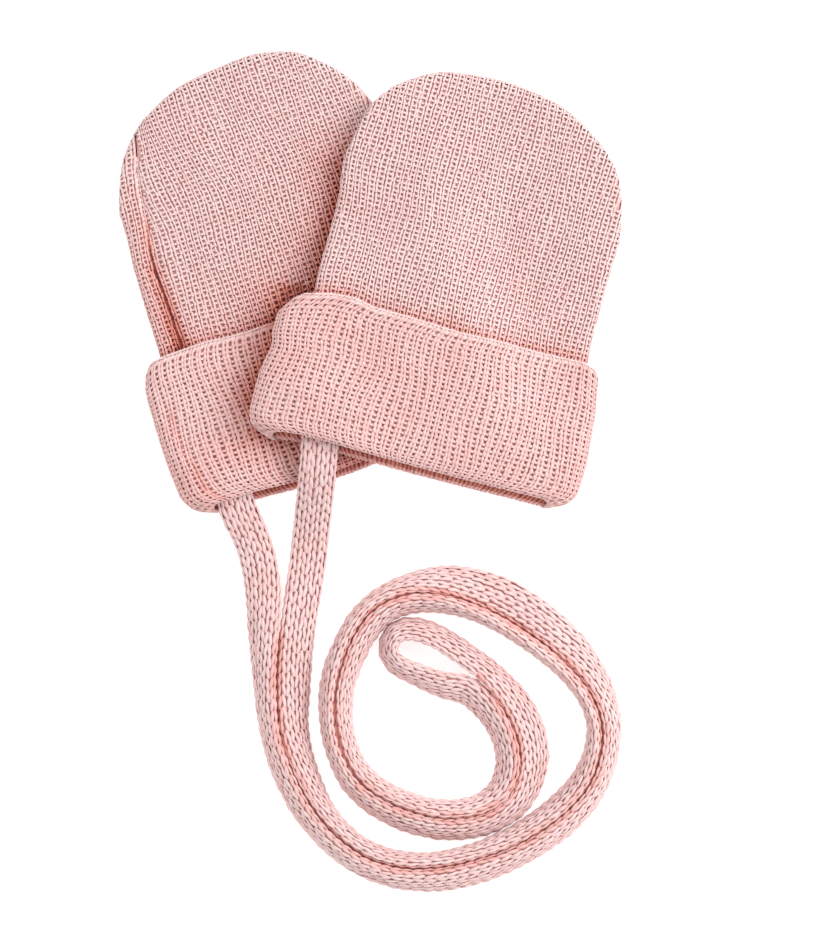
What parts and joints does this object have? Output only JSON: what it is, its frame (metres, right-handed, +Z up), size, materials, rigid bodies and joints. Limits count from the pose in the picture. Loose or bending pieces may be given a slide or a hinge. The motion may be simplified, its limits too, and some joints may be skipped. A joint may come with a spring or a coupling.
{
  "type": "baby mittens",
  "caption": "Rib-knitted thumbless baby mittens with turned-up cuffs, joined by a flat knitted cord and laid flat, overlapping.",
  "frame": {"origin": "on the table, in the middle of the area that the two mittens take up", "axes": "+Z up from the table, +Y towards the mittens' crowns, +X towards the upper mitten, which lies partly on the other"},
  "size_m": [0.1199, 0.2014, 0.0221],
  "materials": {
    "rib_knit": "matt one-by-one rib knit in soft baby yarn",
    "cord_knit": "matt tubular stocking-stitch cord"
  },
  "bodies": {
    "root": {"left_front": "rib_knit", "left_back": "rib_knit", "left_cuff": "rib_knit", "right_front": "rib_knit", "right_back": "rib_knit", "right_cuff": "rib_knit", "cord": "cord_knit"}
  },
  "joints": []
}
